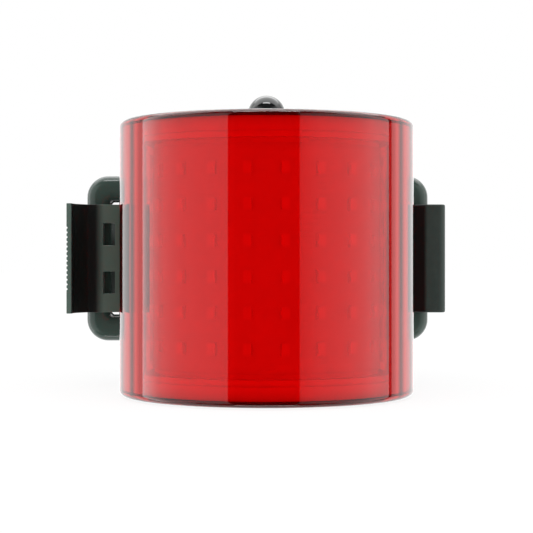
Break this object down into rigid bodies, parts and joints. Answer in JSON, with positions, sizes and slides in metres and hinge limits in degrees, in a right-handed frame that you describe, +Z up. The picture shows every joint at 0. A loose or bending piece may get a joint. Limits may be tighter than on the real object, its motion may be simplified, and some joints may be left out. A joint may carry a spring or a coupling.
{
  "type": "bicycle rear light",
  "caption": "Upright round rear light with a clear red lens, a domed button on top, and a soft strap that hooks round a seat post.",
  "frame": {"origin": "on the axis of the post that the light is strapped to, at the middle of the strap's width", "axes": "+Z up along the post and the lens; the lens faces -Y"},
  "size_m": [0.0552, 0.0734, 0.0407],
  "materials": {
    "red_lens": "clear gloss",
    "black_plastic": "satin",
    "hook_plastic": "satin",
    "button_plastic": "gloss",
    "red_plastic": "satin",
    "white_plastic": "matt",
    "seal_rubber": "matt",
    "soft_silicone": "matt",
    "film_board": "satin",
    "led_body": "gloss",
    "screw_steel": "satin",
    "socket_steel": "satin",
    "switch_plastic": "matt",
    "circuit_board": "satin",
    "cell_wrap": "gloss",
    "red_wire": "satin",
    "black_wire": "satin"
  },
  "bodies": {
    "housing": {"lens": "red_lens", "top_cap": "black_plastic", "bottom_cap": "black_plastic", "top_gasket": "seal_rubber", "bottom_gasket": "seal_rubber", "led_carrier": "red_plastic", "core_bumpers": "seal_rubber", "led_film": "film_board", "leds": "led_body", "back_frame": "black_plastic", "cap_screws": "screw_steel", "frame_screws": "screw_steel", "post_pad": "soft_silicone", "strap": "soft_silicone", "button_collar": "black_plastic", "button_seal": "seal_rubber", "switch_body": "switch_plastic", "switch_board": "circuit_board", "cell": "cell_wrap", "cradle_top": "white_plastic", "cradle_bottom": "white_plastic", "main_board": "circuit_board", "board_chips": "switch_plastic", "lead_plug": "white_plastic", "lead_red": "red_wire", "lead_black": "black_wire", "socket_shell": "socket_steel", "socket_tongue": "switch_plastic"},
    "button": {"button": "button_plastic"},
    "plunger": {"switch_plunger": "switch_plastic"},
    "hook": {"hook": "hook_plastic", "hook_pin": "screw_steel"},
    "flap": {"port_flap": "soft_silicone"}
  },
  "joints": [
    {"name": "button_press", "type": "slide", "parent": "housing", "child": "button", "axis": [0, 0, -1], "range_m": [0, 0.0005], "stiffness_N_per_m": 1500},
    {"name": "plunger_press", "type": "slide", "parent": "housing", "child": "plunger", "axis": [0, 0, -1], "range_m": [0, 0.0005]},
    {"name": "hook_swing", "type": "hinge", "parent": "housing", "child": "hook", "pos_m": [-0.0263, -0.0119, 0], "axis": [0, 0, -1], "range_deg": [0, 75]},
    {"name": "flap_swing", "type": "hinge", "parent": "housing", "child": "flap", "pos_m": [0, -0.03498, -0.0184], "axis": [-1, 0, 0], "range_deg": [0, 100], "stiffness_Nm_per_rad": 0.002}
  ],
  "couplings": [
    {"joint": "plunger_press", "follows": "button_press", "ratio": 1}
  ]
}
